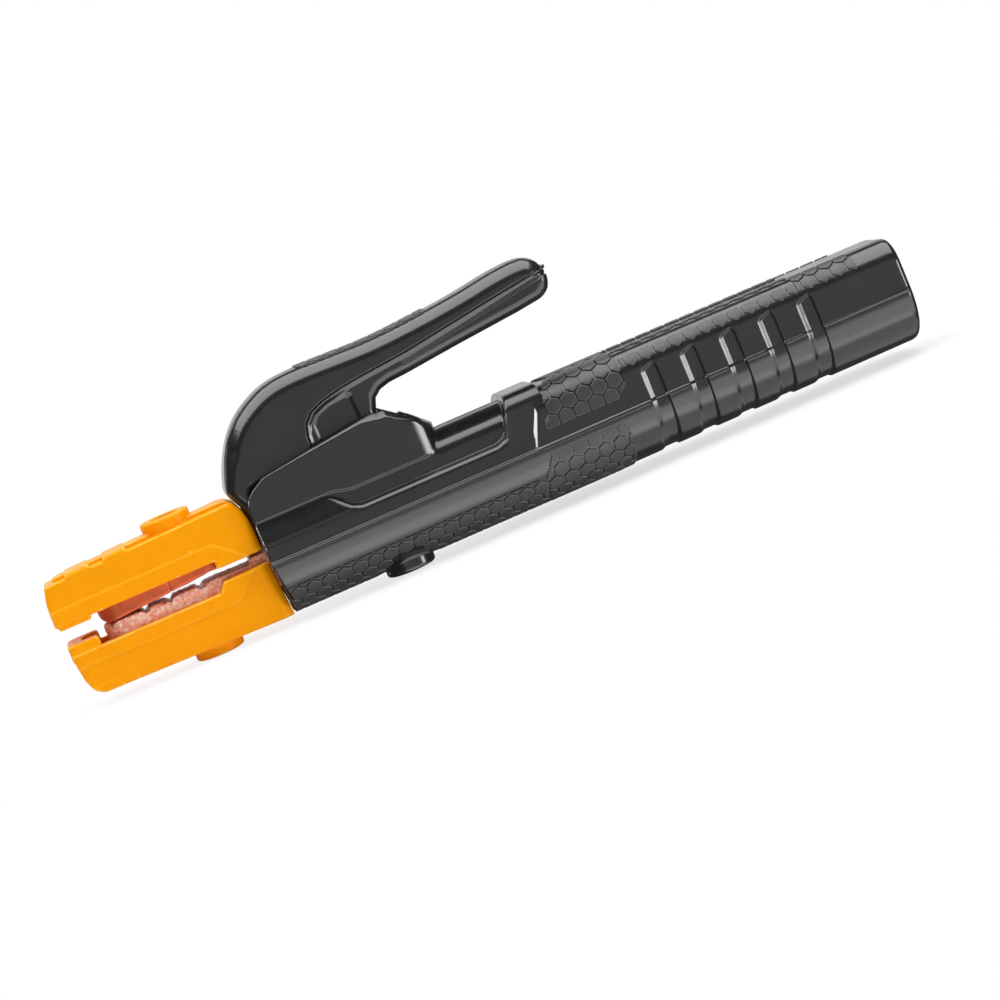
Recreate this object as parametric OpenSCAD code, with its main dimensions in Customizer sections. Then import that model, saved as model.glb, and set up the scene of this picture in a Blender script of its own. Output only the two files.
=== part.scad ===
// Tong-type welding electrode holder.
// +X runs along the grip towards the welding cable, +Z is the lever side, and the origin is the
// centre of the cable entry in the grip's rear face. All sizes are in millimetres.

/* [Grip] */
// Length of the grip moulding, from the cable entry to the jaw insulators
grip_length = 209.5; // [209:0.1:210]
// Outer radius of the grip tube
grip_r = 17; // [16.8:0.1:17.4]
// Wall thickness of the grip tube
grip_wall = 3.2; // [2.8:0.1:3.3]
// Radius of the hole where the cable enters
cable_entry_r = 11.5; // [10.8:0.1:12]
// Number of finger grooves around the grip
groove_count = 5; // [1:1:5]
// Distance from one finger groove to the next
groove_pitch = 12.85; // [12:0.05:13]
// Depth of a finger groove
groove_depth = 0.9; // [0.4:0.1:1.2]

/* [Guard] */
// Half of the width over the two cheeks beside the pivot
cheek_y = 14; // [13.8:0.1:14.4]
// Half of the gap between the two cheeks
cheek_gap_y = 11.3; // [11.2:0.1:11.6]

/* [Pivot] */
// Distance of the pivot pin from the cable entry, along the grip
pivot_back = 200; // [199.8:0.1:200.2]
// Height of the pivot pin above the grip's centre line
pivot_z = 16; // [15.8:0.1:16.2]
// Radius of the pivot pin
pin_r = 3; // [2.8:0.1:3.1]

/* [Jaws] */
// Distance of the jaw tips from the cable entry
jaw_tip_back = 274.7; // [274:0.1:276]
// Half of the width of the contacts
contact_y = 7; // [6.6:0.1:7]
// Height of the lower contact's toothed face
contact_z = 1.9; // [1.8:0.1:1.9]
// Depth of the grooves that the electrode lies in
tooth_depth = 1.3; // [0.8:0.1:1.5]

/* [Lever] */
// Half of the width of the lever
lever_y = 10.6; // [10.2:0.1:10.8]
// Radius of the lever's rounded tip
tip_r = 7.7; // [7.2:0.1:7.9]

/* [Cable socket] */
// Radius of the bore that takes the stripped cable
cable_bore_r = 7; // [6.6:0.1:7.2]
// Outer radius of the socket
socket_r = 10; // [9.6:0.1:10]
// Radius of the clamping screws
clamp_screw_r = 3.95; // [3.6:0.05:3.95]

/* [Hidden] */
$fn = 64;
eps = 0.1;               // overrun of a cutting tool
gap = 0.05;              // radial clearance of a screw or pin in its hole

front_x = -grip_length;          // front face of the grip
pivot_x = -pivot_back;
tip_x = -jaw_tip_back;           // foremost point of the jaws
grip_screw_x = -170.5;
jaw_screw_x = -232.6;            // both jaw insulators are held at this station
spring_x = -175;
collar_x = -115.5;               // rear edge of the collar at its top
neck_x = -148.5;                 // rear face of the guard, where the neck begins
slot_end_x = -154.8;             // end of the slot that the lever drops into
bore_r = grip_r - grip_wall;     // inside of the grip tube
pass_r = socket_r + 0.4;         // the grip slides off backwards over the socket
contact_back_x = -225;           // rear end of the contacts
contact_front_x = -261.7;        // front end of the contacts
socket_front_x = -146;
socket_back_x = -84;
shank_r = 6.47;
shank_end_x = -124;
clamp_x = [-112, -96];           // the two clamping screws
lug_y = [6, 8.3];                // inner and outer face of each pivot lug
barrel_y = 5.4;                  // half of the length of the lever's pivot barrel
bush_r = 4.5;
spring_z = [6, 27.5];            // lower and upper end of the spring
spring_wire_r = 1;
spring_r = 6;                    // radius of the coil at the middle of the wire
spring_turns = 6;
seam = [                         // seam between the lever's two mouldings, back to front
    [-98, 49.2], [-118.3, 46.2], [-148.5, 41.7], [-166.6, 39.9], [-178.7, 37.5], [-184.4, 33.3], [-185, 20]
];

// ---------------------------------------------------------------- helpers

// Extrudes an outline drawn in the XZ plane from y_from to y_to.
module side_plate(y_from, y_to) {
    translate([0, y_to, 0]) rotate([90, 0, 0]) linear_extrude(y_to - y_from) children();
}

// Extrudes an outline drawn in the XY plane from z_from to z_to.
module flat_plate(z_from, z_to) {
    translate([0, 0, z_from]) linear_extrude(z_to - z_from) children();
}

module block(low, high) {
    translate(low) cube(high - low);
}

module rod_x(r, x_from, x_to) {
    translate([x_from, 0, 0]) rotate([0, 90, 0]) cylinder(r = r, h = x_to - x_from);
}

module rod_y(r, x, z, y_from, y_to) {
    translate([x, y_to, z]) rotate([90, 0, 0]) cylinder(r = r, h = y_to - y_from);
}

module rod_z(r, x, z_from, z_to) {
    translate([x, 0, z_from]) cylinder(r = r, h = z_to - z_from);
}

module both_sides() {
    children();
    mirror([0, 1, 0]) children();
}

// Points of an arc, in degrees, from a_from to a_to.
function arc(x, z, r, a_from, a_to, n = 10) =
    [for (i = [0:n]) let (a = a_from + (a_to - a_from) * i / n) [x + r * cos(a), z + r * sin(a)]];

// A screw along Z: its head is at head_z, its shank runs to tip_z, and a hex socket is in the head.
module screw_z(x, head_r, head_z, head_h, shank_r, tip_z) {
    up = tip_z > head_z ? 1 : -1;
    translate([x, 0, head_z]) scale([1, 1, up]) difference() {
        union() {
            cylinder(r = head_r, h = head_h);
            cylinder(r = shank_r, h = abs(tip_z - head_z));
        }
        translate([0, 0, -eps]) cylinder(r = head_r * 0.5, h = head_h * 0.6 + eps, $fn = 6);
    }
}

// ---------------------------------------------------------------- grip and guard

guard_outline = [
    [front_x, 4], [front_x, 18.6], [front_x + 1, 20.8], [front_x + 3.2, 22.6], [front_x + 7.8, 24.6],
    [-185.1, 26.9], [-164, 29.3], [-162.5, 29.5], [neck_x, 18.9], [neck_x, 4]
];

module grip_outside() {
    rod_x(grip_r, collar_x - 14, 0);
    // Collar: a step up from the grip that leans forwards towards the parting line.
    intersection() {
        rod_x(grip_r + 1, -129.5, collar_x + 1);
        side_plate(-20, 20) polygon([[-129.5, 0], [-124.5, 0], [collar_x, 19], [-129.5, 19]]);
    }
    // Lower shell under the guard and neck.
    intersection() {
        rod_x(grip_r, front_x, collar_x - 10);
        block([front_x, -20, -20], [0, 20, 5]);
    }
    // Shoulders that lead up to the cheeks.
    translate([front_x, 0, 0]) rotate([90, 0, 90]) linear_extrude(26)
        polygon([[-16.25, 4.9], [16.25, 4.9], [cheek_y, 12.2], [-cheek_y, 12.2]]);
    // Guard block, with its rear corners cut away and a pocket below each cheek.
    intersection() {
        side_plate(-cheek_y, cheek_y) polygon(guard_outline);
        flat_plate(0, 40) polygon([
            [front_x, -cheek_y], [-155.8, -cheek_y], [neck_x, -9], [neck_x, 9],
            [-155.8, cheek_y], [front_x, cheek_y]
        ]);
        union() {
            block([front_x, -20, 11], [neck_x, 20, 40]);
            block([front_x, -12.4, 0], [neck_x, 12.4, 12]);
        }
    }
    // Neck, with a half-round back.
    translate([0, 0, 5]) rod_x(12.4, neck_x - 1, -128);
    block([neck_x - 1, -12.4, 0], [-128, 12.4, 5]);
    rod_z(7.7, grip_screw_x, -19.7, -10);
}

module grip_inside() {
    rod_x(bore_r, -127, -20);
    rod_x(cable_entry_r, -20 - eps, eps);
    rod_x(pass_r, front_x - eps, -126);
    intersection() {
        rod_x(14, front_x + 3, -126);
        block([front_x, -20, -20], [-126, 20, 3.5]);
    }
    // The casting and its screw boss leave through these when the grip is pulled off.
    block([front_x - eps, -8.6, -8.4], [front_x + 4, 8.6, 3.5]);
    block([front_x - eps, -5.5, -13.9], [front_x + 4, 5.5, 0]);
    block([front_x - eps, -pass_r, 0], [slot_end_x, pass_r, 12]);
    block([front_x - eps, -cheek_gap_y, 11.2], [slot_end_x, cheek_gap_y, 40]);
    rod_z(5.2, grip_screw_x, -20, -16.5);
    rod_z(3.3, grip_screw_x, -17, -10);
}

module finger_grooves() {
    width = 5;
    for (i = [0:groove_count - 1]) {
        x = -83.7 + i * groove_pitch;
        intersection() {
            difference() {
                rod_x(grip_r + 2, x - width / 2, x + width / 2);
                rod_x(grip_r - groove_depth, x - width, x + width);
            }
            block([x - width, -20, -20], [x + width, 20, 9]);
        }
    }
}

module grip() {
    color("#2b2b2d") difference() {
        grip_outside();
        grip_inside();
        finger_grooves();
    }
}

module grip_screw() {
    color("silver") screw_z(grip_screw_x, 5, -18.9, 2.4, 3 - gap, -4);
}

// ---------------------------------------------------------------- fixed metal parts

// V-grooves that hold the electrode square to the jaw or at 45 degrees.
module electrode_grooves() {
    for (x = [-248.3, -240.5, -230.8])
        translate([x, 0, contact_z]) rotate([0, 45, 0])
            cube([tooth_depth * sqrt(2), 40, tooth_depth * sqrt(2)], center = true);
    for (x = [-254, -236], turn = [-45, 45])
        translate([x, 0, contact_z]) rotate([0, 0, turn]) rotate([0, 45, 0])
            cube([tooth_depth * sqrt(2), 40, tooth_depth * sqrt(2)], center = true);
}

module pivot_lug() {
    rod_y(6.5, pivot_x, pivot_z, lug_y[0], lug_y[1]);
    block([pivot_x - 6.5, lug_y[0], 1], [pivot_x + 6.5, lug_y[1], pivot_z]);
}

module lower_jaw_casting() {
    color("#b5593a") difference() {
        union() {
            difference() {
                block([contact_front_x, -contact_y, -6], [contact_back_x, contact_y, contact_z]);
                intersection() {
                    electrode_grooves();
                    block([contact_front_x - 1, -10, -1], [contact_back_x, 10, 5]);
                }
            }
            block([contact_back_x - 1, -6.5, -6], [-205, 6.5, contact_z]);
            block([-214, -6.5, 0], [-205, 6.5, 3.7]);
            block([-209.2, -8.2, -8], [-152, 8.2, 3]);
            both_sides() pivot_lug();
            rod_z(8, spring_x, 2, 4.5);
            rod_z(4.2, spring_x, 2, 8);
            rod_z(4.5, grip_screw_x, -13.1, -7);
            rod_x(shank_r, -153, shank_end_x);
        }
        both_sides() rod_y(pin_r + 0.02, pivot_x, pivot_z, lug_y[0] - 1, lug_y[1] + 1);
        rod_z(3, grip_screw_x, -14, -2);
        rod_z(2.5, jaw_screw_x, -7, -0.6);
        rod_y(1.53, -135, 0, -20, 20);
    }
}

module cable_socket() {
    color("#c9a24a") difference() {
        rod_x(socket_r, socket_front_x, socket_back_x);
        rod_x(shank_r + 0.03, socket_front_x - eps, shank_end_x + eps);
        rod_x(cable_bore_r, shank_end_x, socket_back_x + eps);
        for (x = clamp_x) rod_z(clamp_screw_r + gap, x, 3, 12);
        rod_y(1.53, -135, 0, -20, 20);
    }
}

module socket_pin() {
    color("silver") rod_y(1.5, -135, 0, -9.7, 9.7);
}

module clamp_screw(x) {
    color("dimgray") difference() {
        rod_z(clamp_screw_r, x, cable_bore_r + 0.3, 12.8);
        translate([x, 0, 10]) cylinder(r = 2.3, h = 4, $fn = 6);
    }
}

module pivot_pin() {
    groove = [8.35, 9.05];
    color("silver") difference() {
        rod_y(pin_r, pivot_x, pivot_z, -9.6, 9.6);
        both_sides() difference() {
            rod_y(pin_r + 1, pivot_x, pivot_z, groove[0], groove[1]);
            rod_y(pin_r - 0.4, pivot_x, pivot_z, groove[0] - 1, groove[1] + 1);
        }
    }
}

module pivot_clips() {
    color("dimgray") both_sides() difference() {
        rod_y(4.3, pivot_x, pivot_z, 8.4, 9);
        rod_y(pin_r - 0.35, pivot_x, pivot_z, 8, 10);
        block([pivot_x - 1.2, 8, pivot_z - 6], [pivot_x + 1.2, 10, pivot_z]);
    }
}

module pivot_washers() {
    color("gold") both_sides() difference() {
        rod_y(6, pivot_x, pivot_z, 5.44, 5.94);
        rod_y(pin_r + gap, pivot_x, pivot_z, 5, 7);
    }
}

// Ring i of the spring's swept wire, as points around the wire.
function spring_ring(i, n, sides) =
    let (t = i / n, a = 360 * spring_turns * t)
    let (z = spring_z[0] + spring_wire_r + (spring_z[1] - spring_z[0] - 2 * spring_wire_r) * t)
    [for (k = [0:sides - 1]) let (b = 360 * k / sides, r = spring_r + spring_wire_r * cos(b))
        [spring_x + r * cos(a), r * sin(a), z + spring_wire_r * sin(b)]];

module spring() {
    sides = 6;
    rings = 16 * spring_turns;
    points = [for (i = [0:rings]) each spring_ring(i, rings, sides)];
    walls = [for (i = [0:rings - 1], k = [0:sides - 1]) let (k2 = (k + 1) % sides)
        [i * sides + k, (i + 1) * sides + k, (i + 1) * sides + k2, i * sides + k2]];
    ends = [[for (k = [0:sides - 1]) k], [for (k = [sides - 1:-1:0]) rings * sides + k]];
    color("silver") polyhedron(points, concat(walls, ends), convexity = 10);
}

module spring_cup(floor_z, rim_z, plug_r) {
    low = min(floor_z, rim_z);
    high = max(floor_z, rim_z);
    floor_end = floor_z + sign(rim_z - floor_z) * 1.5;
    color("#7a4b2c") difference() {
        rod_z(8, spring_x, low, high);
        rod_z(7.2, spring_x, min(floor_end, rim_z + sign(rim_z - floor_z) * eps),
            max(floor_end, rim_z + sign(rim_z - floor_z) * eps));
        rod_z(plug_r + 0.1, spring_x, low - 1, high + 1);
    }
}

module lower_spring_seat() {
    spring_cup(4.5, 8.5, 4.2);
}

// ---------------------------------------------------------------- jaw insulators

// Plan shape of an insulator: narrow at the nose, wider at the guard.
module insulator_plan() {
    polygon([
        [tip_x, -7.5], [tip_x + 2, -9], [-210, -10.5], [-200, -10.5],
        [-200, 10.5], [-210, 10.5], [tip_x + 2, 9], [tip_x, 7.5]
    ]);
}

module insulator_shell(outline) {
    intersection() {
        side_plate(-12, 12) polygon(outline);
        flat_plate(-30, 30) insulator_plan();
    }
}

module screw_boss(z_base, z_top) {
    rod_z(7.6, jaw_screw_x, min(z_base, z_top), max(z_base, z_top));
}

module lower_jaw_insulator() {
    nose = [
        [tip_x, -2.5], [tip_x, -7], [tip_x + 0.9, -11], [tip_x + 2.1, -14.3], [tip_x + 4.4, -15.7]
    ];
    tail = [[-209.8, -17], [-209.8, 0.6], [-224.2, 0.4], [-226, -2.5]];
    color("orange") difference() {
        union() {
            insulator_shell(concat(nose, tail));
            both_sides() block([tip_x + 0.6, 4.6, -3], [-264, 8.4, 0.6]);
            screw_boss(-16, -19.6);
        }
        block([-264, -contact_y - 0.1, -6], [-209, contact_y + 0.1, 2]);
        rod_z(4.7, jaw_screw_x, -20, -16.2);
        rod_z(2.7, jaw_screw_x, -17, -5);
    }
}

module lower_jaw_screw() {
    color("silver") screw_z(jaw_screw_x, 4.5, -18.8, 2.6, 2.5 - gap, -1.2);
}

module upper_jaw_insulator() {
    nose = [
        [tip_x, 6.9], [tip_x + 0.3, 14], [tip_x + 1.5, 18.3], [tip_x + 4.2, 20.4], [tip_x + 6.7, 20.8]
    ];
    tail = [
        [-217, 22.2], [-213.5, 21.2], [-211.5, 18.5], [-210.1, 13.5], [-210.1, 4.4], [-224, 4.4], [-224, 6.9]
    ];
    notches = [[-264.5, -258], [-250.5, -245], [-238, -232]];
    color("orange") difference() {
        union() {
            insulator_shell(concat(nose, tail));
            block([tip_x + 1.2, -4, 5.4], [-263.5, 4, 7.5]);
            screw_boss(20, 24.8);
        }
        block([-262.3, -contact_y - 0.1, 4], [-224, contact_y + 0.1, 14.1]);
        side_plate(-6.1, 6.1) polygon([[-226, 4], [-226, 14.1], [-209, 18.3], [-209, 4]]);
        both_sides() for (n = notches) block([n[0], 8, 19.2], [n[1], 12, 24]);
        rod_z(4.7, jaw_screw_x, 21.6, 26);
        rod_z(2.7, jaw_screw_x, 13, 22);
    }
}

module upper_jaw_screw() {
    color("silver") screw_z(jaw_screw_x, 4.5, 24.1, 2.5, 2.5 - gap, 9.8);
}

// ---------------------------------------------------------------- lever

arm_outline = [
    [contact_front_x, 8.6], [contact_front_x, 14], [-226, 14], [-210, 17.4], [-205, 22], [-198, 32],
    [-191, 37], [-180, 40], [-166, 43.2], [-148.5, 45.4], [-107, 50.4], [-105, 47.6], [-107, 44.9],
    [-148.5, 39.4], [-161.5, 37.8], [-167.5, 31], [-185, 31], [-191, 22], [-194, 14],
    [-205, 10], [-224, 8.6]
];

module lever_arm() {
    color("#b5593a") difference() {
        union() {
            side_plate(-4.6, 4.6) polygon(arm_outline);
            block([contact_front_x, -contact_y, 8.6], [contact_back_x, contact_y, 14]);
            rod_y(6.6, pivot_x, pivot_z, -barrel_y, barrel_y);
            rod_z(7, spring_x, 29, 31);
            rod_z(4.2, spring_x, 25.5, 31);
        }
        rod_y(bush_r + 0.02, pivot_x, pivot_z, -10, 10);
        rod_z(2.5, jaw_screw_x, 9.5, 15);
        for (x = [-255, -243]) rod_z(1.53, x, 8, 15);
        for (x = [-142, -114]) rod_z(1.55, x, 38, 46.2);
    }
}

module pivot_bush() {
    color("#c9a24a") difference() {
        rod_y(bush_r, pivot_x, pivot_z, -barrel_y, barrel_y);
        rod_y(pin_r + gap, pivot_x, pivot_z, -10, 10);
    }
}

module upper_contact() {
    color("#c2603f") difference() {
        side_plate(-contact_y, contact_y) polygon(concat(
            [[contact_front_x, 8.6]],
            arc(contact_front_x + 3, 5.05, 3, 180, 265, 6),
            [[contact_back_x + 0.7, 4.5], [contact_back_x + 0.7, 8.6]]
        ));
        for (x = [-255, -243]) rod_z(1.53, x, 5, 9);
    }
}

module contact_rivets() {
    color("#b5593a") for (x = [-255, -243]) rod_z(1.5, x, 5.1, 13.8);
}

module upper_spring_seat() {
    spring_cup(29, 25, 4.2);
}

// The lever's outer outline, drawn in by inset, from the front of the shroud round the tip.
function lever_outline(inset) = concat(
    [[-205, 14], [-209.6 + inset, 14], [-210.7 + inset, 18.3], [-213 + inset, 21.8]],
    arc(-184, 21.4, 28.9 - inset, 176, 94, 12),
    [[-182, 49.9 - inset], [-147.5, 49.9 - inset]],
    arc(-107.3, 46.5, tip_r - inset, 96, -84, 12),
    [
        [-154.2, 34.8 + inset * 0.6], [-160.3, 33.6 + inset * 0.6], [-162.1, 31.2 + inset * 0.6],
        [-162.5, 20], [-195, 20.6], [-205, 21]
    ]
);

// Layers that narrow outwards round off the lever's long edges.
module lever_solid() {
    for (layer = [[0, 4.5], [1.2, 8], [3.2, lever_y]])
        side_plate(-layer[1], layer[1]) polygon(lever_outline(layer[0]));
}

module lever_hollow() {
    // Room for the arm, all along the lever.
    side_plate(-4.9, 4.9) polygon([
        [-214, 12], [-214, 17.8], [-210.2, 18.1], [-205.7, 22.6], [-198.7, 32.5], [-191.4, 37.6],
        [-180.2, 40.6], [-166.1, 43.8], [-148.5, 46], [-106, 51],
        [-104, 47.6], [-106, 44.3], [-148.5, 38.8], [-162, 36.6], [-166, 30], [-166, 10]
    ]);
    // Room for the pivot lugs and the spring, open below.
    side_plate(-8.5, 8.5) polygon(concat(
        [[-165, 10], [-165, 31.5], [-170, 36]],
        arc(-184, 21.4, 26, 100, 166, 8),
        [[-207.1, 22], [-207.1, 10]]
    ));
}

module above_seam() {
    side_plate(-20, 20) polygon(concat(seam, [[-185, 10], [-220, 10], [-220, 70], [-98, 70]]));
}

module lever_cover() {
    color("#2b2b2d") difference() {
        intersection() {
            lever_solid();
            above_seam();
        }
        lever_hollow();
    }
}

module lever_underside() {
    color("#2b2b2d") difference() {
        lever_solid();
        above_seam();
        lever_hollow();
        for (x = [-142, -114]) {
            rod_z(1.6, x, 30, 50);
            rod_z(3.1, x, 30, lever_screw_seat(x));
        }
    }
}

// Floor of the counterbore for a screw in the lever's underside.
function lever_screw_seat(x) = x < -130 ? 37.6 : 40.6;

module lever_screws() {
    color("silver") for (x = [-142, -114])
        screw_z(x, 2.9, lever_screw_seat(x) - 1.2, 1.2, 1.5, lever_screw_seat(x) + 5);
}

// ---------------------------------------------------------------- selection

grip();
grip_screw();
lower_jaw_casting();
lower_jaw_insulator();
lower_jaw_screw();
cable_socket();
socket_pin();
clamp_screw(clamp_x[0]);  // front_clamp_screw
clamp_screw(clamp_x[1]);  // rear_clamp_screw
pivot_pin();
pivot_clips();
pivot_washers();
spring();
lower_spring_seat();
lever_arm();
pivot_bush();
upper_contact();
contact_rivets();
upper_jaw_insulator();
upper_jaw_screw();
upper_spring_seat();
lever_cover();
lever_underside();
lever_screws();
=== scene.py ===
import itertools
import math
import bpy
import numpy as np
from mathutils import Matrix, Vector


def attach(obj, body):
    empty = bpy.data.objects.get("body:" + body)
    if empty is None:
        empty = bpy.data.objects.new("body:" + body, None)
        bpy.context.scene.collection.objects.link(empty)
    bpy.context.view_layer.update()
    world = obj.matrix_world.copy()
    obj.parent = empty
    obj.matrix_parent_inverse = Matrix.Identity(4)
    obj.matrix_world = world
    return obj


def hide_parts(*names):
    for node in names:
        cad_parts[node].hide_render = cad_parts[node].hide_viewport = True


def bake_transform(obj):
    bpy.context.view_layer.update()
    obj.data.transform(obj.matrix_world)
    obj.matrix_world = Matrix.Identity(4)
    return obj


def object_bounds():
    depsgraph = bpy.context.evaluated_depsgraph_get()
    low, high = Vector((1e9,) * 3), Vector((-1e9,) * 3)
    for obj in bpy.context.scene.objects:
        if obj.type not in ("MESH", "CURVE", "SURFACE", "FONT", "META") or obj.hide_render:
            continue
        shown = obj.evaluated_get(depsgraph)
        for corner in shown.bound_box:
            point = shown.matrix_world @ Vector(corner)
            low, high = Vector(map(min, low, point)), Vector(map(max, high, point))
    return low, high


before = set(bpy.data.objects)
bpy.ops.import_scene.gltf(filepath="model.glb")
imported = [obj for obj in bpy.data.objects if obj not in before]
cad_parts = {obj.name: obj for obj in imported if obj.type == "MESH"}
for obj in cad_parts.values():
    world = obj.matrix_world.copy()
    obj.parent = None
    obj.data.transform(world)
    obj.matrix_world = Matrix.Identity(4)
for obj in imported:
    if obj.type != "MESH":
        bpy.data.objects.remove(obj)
CAD_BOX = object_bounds()
F = np.float32

# ---------------------------------------------------------------- solids as distance fields (mm)
# A field is negative inside its solid. p holds points, with x, y and z on the last axis.


def smax(a, b, k):
    """The larger of two distances, blended where they differ by less than k."""
    h = np.maximum(k - np.abs(a - b), 0) / k
    return np.maximum(a, b) + h * h * k * 0.25


def smin(a, b, k):
    return -smax(-a, -b, k)


def poly2(u, v, pts):
    """Signed distance to a closed outline."""
    pts = np.array(pts, F)
    d = np.full(u.shape, 1e9, F)
    s = np.ones(u.shape, F)
    for i in range(len(pts)):
        a, b = pts[i], pts[i - 1]
        eu, ev = b[0] - a[0], b[1] - a[1]
        wu, wv = u - a[0], v - a[1]
        t = np.clip((wu * eu + wv * ev) / (eu * eu + ev * ev + 1e-9), 0, 1)
        d = np.minimum(d, (wu - eu * t) ** 2 + (wv - ev * t) ** 2)
        above_a, below_b, left = v >= a[1], v < b[1], eu * wv > ev * wu
        s = np.where((above_a & below_b & left) | (~above_a & ~below_b & ~left), -s, s)
    return s * np.sqrt(d)


def corner(a, b, r):
    """The corner of two half spaces, grown outwards by r."""
    return np.minimum(np.maximum(a, b), 0) + np.hypot(np.maximum(a, 0), np.maximum(b, 0)) - r


def both(a, b, r=0.0):
    """Inside both, with the edge between them rounded to r."""
    return corner(a + r, b + r, r)


def plate(p, pts, half, r):
    """An outline in x and z, half thick to each side of the middle plane."""
    return both(poly2(p[..., 0], p[..., 2], pts), np.abs(p[..., 1]) - half, r)


def box(p, lo, hi, r=0.0):
    lo, hi = np.array(lo, F), np.array(hi, F)
    q = np.abs(p - (lo + hi) / 2) - (hi - lo) / 2 + r
    return np.linalg.norm(np.maximum(q, 0), axis=-1) + np.minimum(q.max(axis=-1), 0) - r


def cyl(p, axis, c, rad, lo, hi, r=0.0):
    """A cylinder along one axis from lo to hi; c is its middle on the other two."""
    o = [i for i in range(3) if i != axis]
    d = np.hypot(p[..., o[0]] - c[0], p[..., o[1]] - c[1]) - rad
    return both(d, np.abs(p[..., axis] - (lo + hi) / 2) - (hi - lo) / 2, r)


def arc(x, z, r, a0, a1, n):
    """n + 1 points on a circle, from angle a0 to a1 in degrees."""
    return [(x + r * math.cos(math.radians(a0 + (a1 - a0) * i / n)),
             z + r * math.sin(math.radians(a0 + (a1 - a0) * i / n))) for i in range(n + 1)]


def through(pts, n=4):
    """A smooth curve through the points."""
    q = [pts[0]] + list(pts) + [pts[-1]]
    out = []
    for i in range(1, len(q) - 2):
        a, b, c, d = (np.array(q[i + j], float) for j in (-1, 0, 1, 2))
        for t in (k / n for k in range(n)):
            out.append(tuple(0.5 * (2 * b + (c - a) * t + (2 * a - 5 * b + 4 * c - d) * t * t
                                    + (3 * b - a - 3 * c + d) * t ** 3)))
    return out + [tuple(pts[-1])]


def gradient(f, v, e=0.04):
    """The field's slope at each point, from samples e to both sides."""
    g = np.empty_like(v)
    for i in range(3):
        d = np.zeros(3, F)
        d[i] = e
        g[:, i] = (f(v + d) - f(v - d)) / (2 * e)
    return g


CORNERS = [(i, j, k) for i in (0, 1) for j in (0, 1) for k in (0, 1)]
BLOCK = 8           # cells along one side of a block
BATCH = 1200        # blocks worked out at once
OFF_GRID = 2.37     # margin in cells, not whole, so that no flat face lies on the grid
LONGEST_STEP = 0.45     # how far a vertex may be moved at once, in cells


def sampled(f, lo, hi, h):
    """f on a grid of step h: in full near the surface, one value per block away from it."""
    lo = np.array(lo, F) - h * OFF_GRID
    count = np.ceil((np.array(hi, F) + h * 2 - lo) / (h * BLOCK)).astype(int)
    block = np.stack(np.meshgrid(*[np.arange(n) for n in count], indexing="ij"), -1).reshape(-1, 3)
    middle = f(lo + (block * BLOCK + (BLOCK - 1) / 2).astype(F) * h)
    dense = np.empty(tuple(count * BLOCK), F)
    blocks = dense.reshape(count[0], BLOCK, count[1], BLOCK, count[2], BLOCK).transpose(0, 2, 4, 1, 3, 5)
    blocks[block[:, 0], block[:, 1], block[:, 2]] = middle[:, None, None, None]
    near = block[np.abs(middle) < BLOCK * h * 1.05]
    inside_block = np.stack(np.meshgrid(*[np.arange(BLOCK)] * 3, indexing="ij"), -1).astype(F) * h
    for start in range(0, len(near), BATCH):
        a = near[start:start + BATCH]
        first = lo + a.astype(F)[:, None, None, None, :] * (BLOCK * h)
        blocks[a[:, 0], a[:, 1], a[:, 2]] = f(first + inside_block)
    return lo, dense


def surface(f, lo, hi, h):
    """Surface-nets mesh of f = 0 inside the box, vertices then moved onto the surface."""
    lo, dense = sampled(f, lo, hi, h)
    inside = dense < 0
    cells = np.array(dense.shape) - 1
    # a cell that the surface crosses gets one vertex, the mean of its edges' crossings
    halves = [slice(0, -1), slice(1, None)]
    every, some = np.ones(cells, bool), np.zeros(cells, bool)
    for c in CORNERS:
        w = inside[tuple(halves[q] for q in c)]
        every &= w
        some |= w
    crossed = np.argwhere(some & ~every)
    value = [dense[tuple((crossed + c).T)] for c in CORNERS]
    total, count = np.zeros((len(crossed), 3), F), np.zeros((len(crossed), 1), F)
    for a, b in itertools.combinations(range(8), 2):
        corner_a, corner_b = np.array(CORNERS[a], F), np.array(CORNERS[b], F)
        if np.abs(corner_a - corner_b).sum() != 1:
            continue
        cuts = ((value[a] < 0) != (value[b] < 0))[:, None]
        t = (value[a] / (value[a] - value[b] + 1e-12))[:, None]
        total += np.where(cuts, corner_a + t * (corner_b - corner_a), 0)
        count += cuts
    v = (lo + (crossed + total / count) * h).astype(F)
    # each grid edge that the surface crosses gets a face between its four cells
    vertex = np.full(cells, -1, np.int32)
    vertex[tuple(crossed.T)] = np.arange(len(crossed))
    quads = []
    for axis in range(3):
        u, w = (axis + 1) % 3, (axis + 2) % 3
        here, beyond = [slice(1, -1)] * 3, [slice(1, -1)] * 3
        here[axis], beyond[axis] = slice(0, -1), slice(1, None)
        p0, p1 = inside[tuple(here)], inside[tuple(beyond)]
        edge = np.argwhere(p0 != p1)
        base = edge.copy()
        base[:, u] += 1
        base[:, w] += 1
        loop = []
        for du, dw in ((1, 1), (0, 1), (0, 0), (1, 0)):
            c = base.copy()
            c[:, u] -= du
            c[:, w] -= dw
            loop.append(vertex[tuple(c.T)])
        loop = np.stack(loop, 1)
        turned = ~p0[tuple(edge.T)]
        loop[turned] = loop[turned][:, ::-1]
        quads.append(loop)
    quads = np.concatenate(quads)
    quads = quads[(quads >= 0).all(1)]
    for _ in range(3):
        d, slope = f(v), gradient(f, v)
        step = slope * (d / np.maximum((slope * slope).sum(1), 0.2))[:, None]
        length = np.linalg.norm(step, axis=1, keepdims=True)
        v -= step * np.minimum(1, LONGEST_STEP * h / np.maximum(length, 1e-9))
    return v, quads


def place(name, data):
    """A new object in the scene."""
    o = bpy.data.objects.new(name, data)
    bpy.context.scene.collection.objects.link(o)
    return o


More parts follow.
